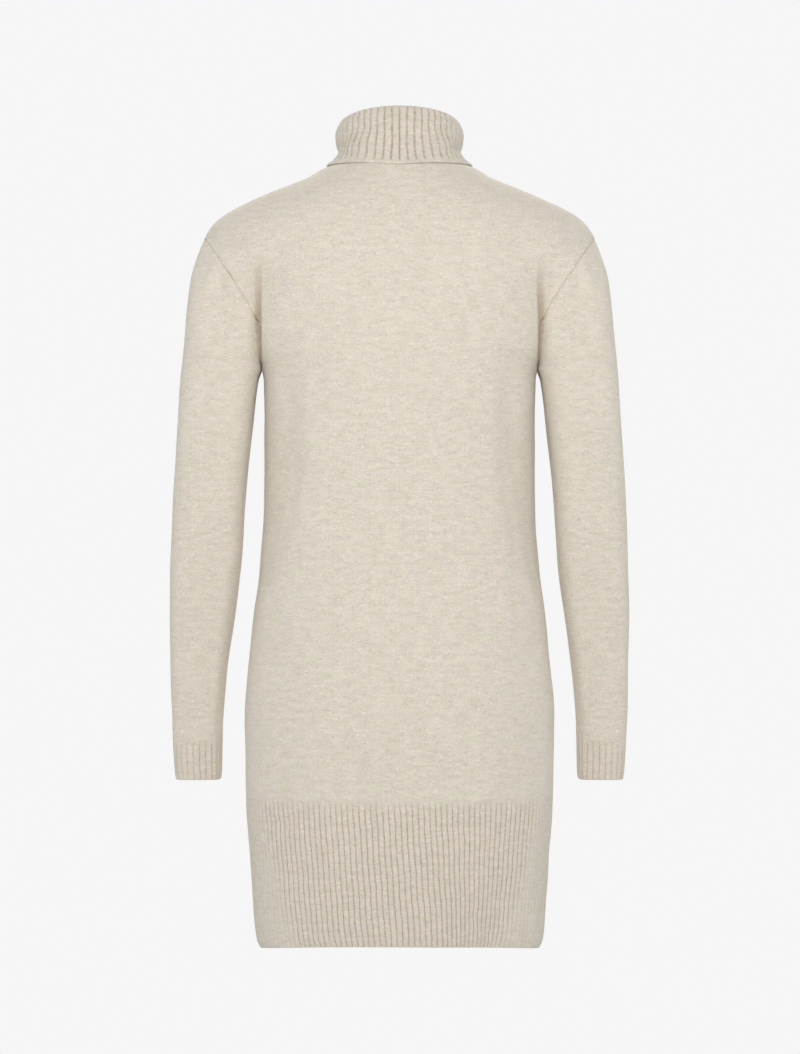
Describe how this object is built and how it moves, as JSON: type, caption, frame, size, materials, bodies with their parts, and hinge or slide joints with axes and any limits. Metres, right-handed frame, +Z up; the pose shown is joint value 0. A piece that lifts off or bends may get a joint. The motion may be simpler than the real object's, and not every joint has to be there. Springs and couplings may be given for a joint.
{
  "type": "sweater dress",
  "caption": "Fine-knit sweater dress with a turned-down ribbed roll neck, long dropped sleeves and a deep ribbed hem, hollow and filled out as worn.",
  "frame": {"origin": "on the body's middle line, level with the seam at the back of the neck, where the wearer's neck and shoulders hold the dress up", "axes": "+Z up along the wearer's height, -Y the way the wearer faces, +X the wearer's left"},
  "size_m": [0.5094, 0.2349, 0.928],
  "materials": {
    "plain_knit": "fine heathered stocking-stitch knit, soft matt nap",
    "rib_knit": "heathered two-by-one rib knit, soft matt nap"
  },
  "bodies": {
    "root": {"body_back": "plain_knit", "body_front": "plain_knit", "sleeve_left": "plain_knit", "sleeve_right": "plain_knit", "hem_rib_back": "rib_knit", "hem_rib_front": "rib_knit", "cuff_left": "rib_knit", "cuff_right": "rib_knit", "collar": "rib_knit"}
  },
  "joints": []
}
